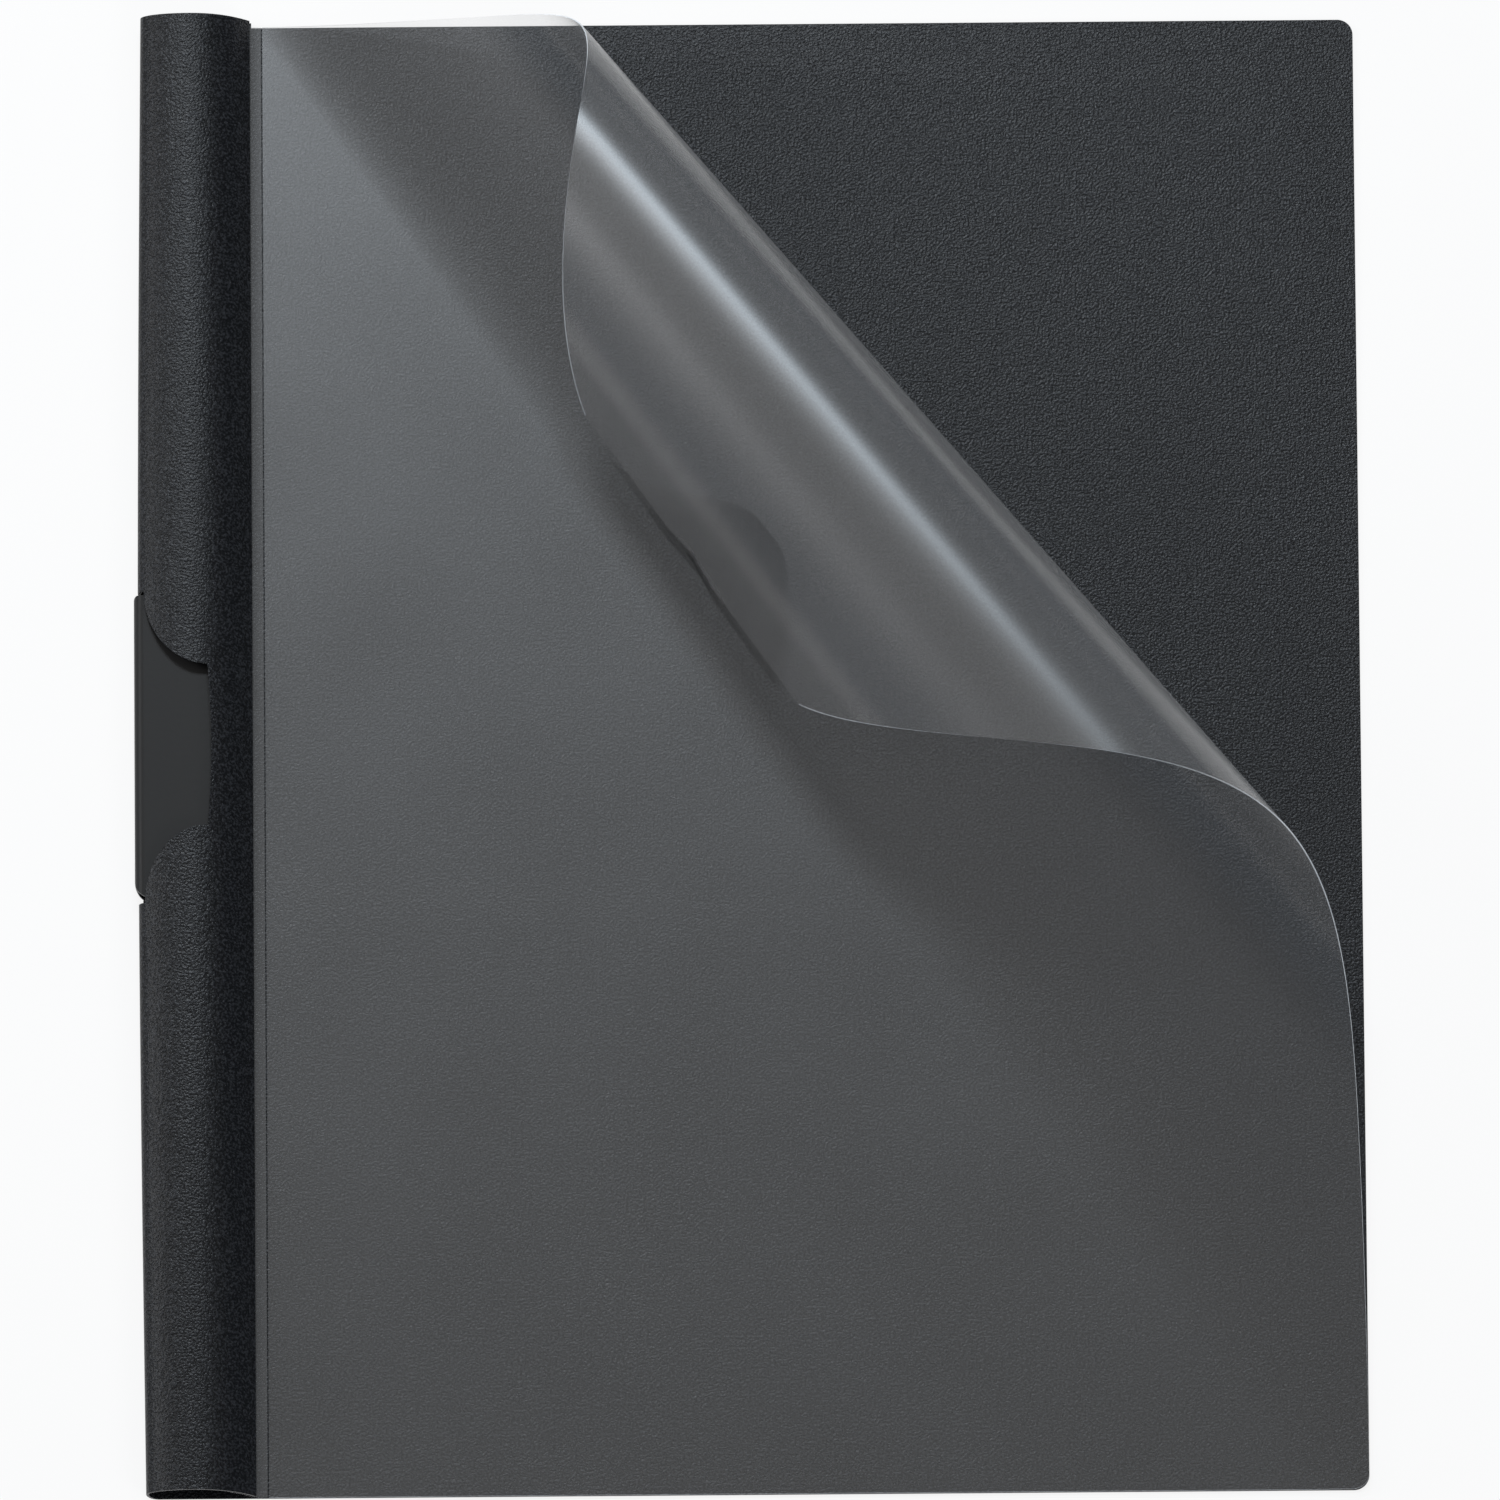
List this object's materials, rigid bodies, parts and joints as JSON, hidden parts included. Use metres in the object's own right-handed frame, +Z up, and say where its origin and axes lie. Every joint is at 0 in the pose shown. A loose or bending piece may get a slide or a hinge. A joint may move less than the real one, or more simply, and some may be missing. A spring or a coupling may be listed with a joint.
{
  "type": "report cover",
  "caption": "Clear-front report cover with a folded black rear panel, rounded spine, swing clip and a front film whose corner is rolled back.",
  "frame": {"origin": "middle of the rear panel's underside, which lies on the table", "axes": "+Y to the cover's top edge, +X from the spine to the free edge, +Z up out of the front film"},
  "size_m": [0.2353, 0.293, 0.0542],
  "materials": {
    "black_sheet": "fine embossed grain, semi-matte",
    "clear_film": "clear, faintly hazy, glossy",
    "black_lacquer": "satin black lacquer on spring steel",
    "dark_rivet": "blackened steel"
  },
  "bodies": {
    "cover": {"folded_cover": "black_sheet", "film_margin": "clear_film", "pivot_rivet": "dark_rivet"},
    "front": {"front_film": "clear_film"},
    "clip": {"swing_clip": "black_lacquer"}
  },
  "joints": [
    {"name": "front_cover_hinge", "type": "hinge", "parent": "cover", "child": "front", "pos_m": [-0.0934, 0, 0.00093], "axis": [0, -1, 0], "range_deg": [0, 120]},
    {"name": "clip_swing", "type": "hinge", "parent": "cover", "child": "clip", "pos_m": [-0.1137, -0.0244, 0], "axis": [0, 0, 1], "range_deg": [0, 90]}
  ]
}
